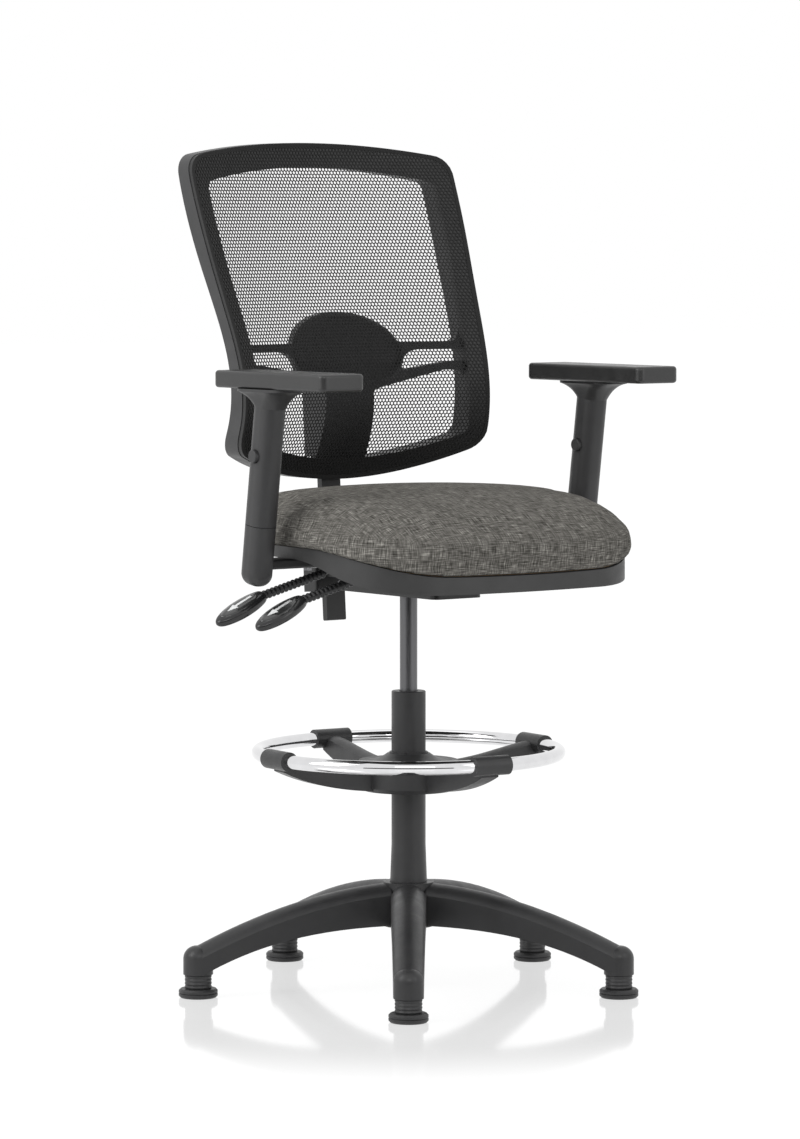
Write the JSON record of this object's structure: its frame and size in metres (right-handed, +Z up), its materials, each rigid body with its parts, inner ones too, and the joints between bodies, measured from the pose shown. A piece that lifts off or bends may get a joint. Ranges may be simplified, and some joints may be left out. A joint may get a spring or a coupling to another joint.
{
  "type": "drafting chair",
  "caption": "Tall drafting chair: star base on glides, gas column with a chromed foot ring, upholstered seat, mesh back on an upright bar and height-adjustable arms.",
  "frame": {"origin": "on the floor, on the axis of the gas column", "axes": "+Z up along the column, -Y the way the sitter faces, +X to the sitter's left"},
  "size_m": [0.6884, 0.6486, 1.255],
  "materials": {
    "base_plastic": "satin black, fine grain",
    "glide_plastic": "satin black",
    "steel": "bare steel",
    "black_steel": "black powder coat",
    "cover_plastic": "satin black",
    "bush_plastic": "natural moulding",
    "chrome": "polished chrome plate",
    "pan_plastic": "satin black, fine grain",
    "board_wood": "moulded plywood",
    "seat_fabric": "charcoal woven wool",
    "lever_plastic": "gloss black",
    "sleeve_plastic": "ribbed satin black",
    "frame_plastic": "satin black",
    "mesh_fabric": "black knitted mesh",
    "arm_plastic": "satin black",
    "pad_plastic": "soft matt black"
  },
  "bodies": {
    "base": {"star_base": "base_plastic", "glides": "glide_plastic", "glide_stems": "steel", "column_tube": "black_steel", "column_cover": "cover_plastic", "guide_bush": "bush_plastic", "bearing_lower_race": "steel", "bearing_cage": "bush_plastic"},
    "foot_collet": {"spider_collet": "cover_plastic"},
    "foot_ring": {"foot_ring_tube": "chrome", "foot_ring_spider": "cover_plastic"},
    "swivel": {"piston_rod": "steel", "rod_clip": "steel", "bearing_upper_race": "steel"},
    "seat": {"gas_cylinder": "black_steel", "cylinder_gland": "bush_plastic", "seat_pan": "pan_plastic", "seat_board": "board_wood", "seat_cushion": "seat_fabric", "seat_bolts": "steel", "spacer_bushes": "black_steel", "mechanism_body": "black_steel", "taper_socket": "black_steel", "tilt_pin": "steel", "arm_bolts": "steel", "arm_bracket_right": "black_steel", "arm_bracket_left": "black_steel", "arm_cover_right": "arm_plastic", "arm_cover_left": "arm_plastic"},
    "valve": {"release_pin": "steel"},
    "height_lever": {"height_lever_rod": "steel", "height_lever_sleeve": "sleeve_plastic", "height_lever_paddle": "lever_plastic"},
    "tilt_lever": {"tilt_lever_rod": "steel", "tilt_lever_sleeve": "sleeve_plastic", "tilt_lever_paddle": "lever_plastic"},
    "back_carrier": {"tilt_arm": "black_steel", "clamp_bolts": "steel", "back_bar": "black_steel"},
    "backrest": {"back_frame": "frame_plastic", "mesh_carrier": "frame_plastic", "back_mesh": "mesh_fabric", "ratchet_block": "frame_plastic", "spine_cover": "frame_plastic"},
    "arm_right": {"arm_sleeve_right": "arm_plastic", "arm_pad_right": "pad_plastic"},
    "arm_left": {"arm_sleeve_left": "arm_plastic", "arm_pad_left": "pad_plastic"},
    "button_right": {"arm_button_right": "arm_plastic"},
    "button_left": {"arm_button_left": "arm_plastic"}
  },
  "joints": [
    {"name": "foot_ring_height", "type": "slide", "parent": "base", "child": "foot_collet", "axis": [0, 0, 1], "range_m": [-0.07, 0.03]},
    {"name": "foot_ring_turn", "type": "hinge", "parent": "foot_collet", "child": "foot_ring", "pos_m": [0, 0, 0.3517], "axis": [0, 0, 1], "continuous": true},
    {"name": "seat_swivel", "type": "hinge", "parent": "base", "child": "swivel", "pos_m": [0, 0, 0.08], "axis": [0, 0, 1], "continuous": true},
    {"name": "seat_height", "type": "slide", "parent": "swivel", "child": "seat", "axis": [0, 0, 1], "range_m": [-0.12, 0.1]},
    {"name": "height_lever_lift", "type": "hinge", "parent": "seat", "child": "height_lever", "pos_m": [-0.052, -0.004, 0.6365], "axis": [0, 1, 0], "range_deg": [0, 3.5]},
    {"name": "valve_press", "type": "slide", "parent": "seat", "child": "valve", "axis": [0, 0, -1], "range_m": [0, 0.0032]},
    {"name": "tilt_lever_lift", "type": "hinge", "parent": "seat", "child": "tilt_lever", "pos_m": [-0.052, -0.103, 0.6365], "axis": [0, 1, 0], "range_deg": [0, 4.5]},
    {"name": "back_tilt", "type": "hinge", "parent": "seat", "child": "back_carrier", "pos_m": [0, 0.07, 0.612], "axis": [-1, 0, 0], "range_deg": [-2, 14]},
    {"name": "back_height", "type": "slide", "parent": "back_carrier", "child": "backrest", "axis": [0, 0.0698, 0.9976], "range_m": [0, 0.07]},
    {"name": "arm_right_height", "type": "slide", "parent": "seat", "child": "arm_right", "axis": [0, -0.1392, 0.9903], "range_m": [0, 0.09]},
    {"name": "arm_left_height", "type": "slide", "parent": "seat", "child": "arm_left", "axis": [0, -0.1392, 0.9903], "range_m": [0, 0.09]},
    {"name": "arm_right_press", "type": "slide", "parent": "arm_right", "child": "button_right", "axis": [1, 0, 0], "range_m": [0, 0.003], "stiffness_N_per_m": 400},
    {"name": "arm_left_press", "type": "slide", "parent": "arm_left", "child": "button_left", "axis": [1, 0, 0], "range_m": [0, 0.003], "stiffness_N_per_m": 400}
  ],
  "couplings": [
    {"joint": "valve_press", "follows": "height_lever_lift", "m_per_rad": 0.052}
  ]
}
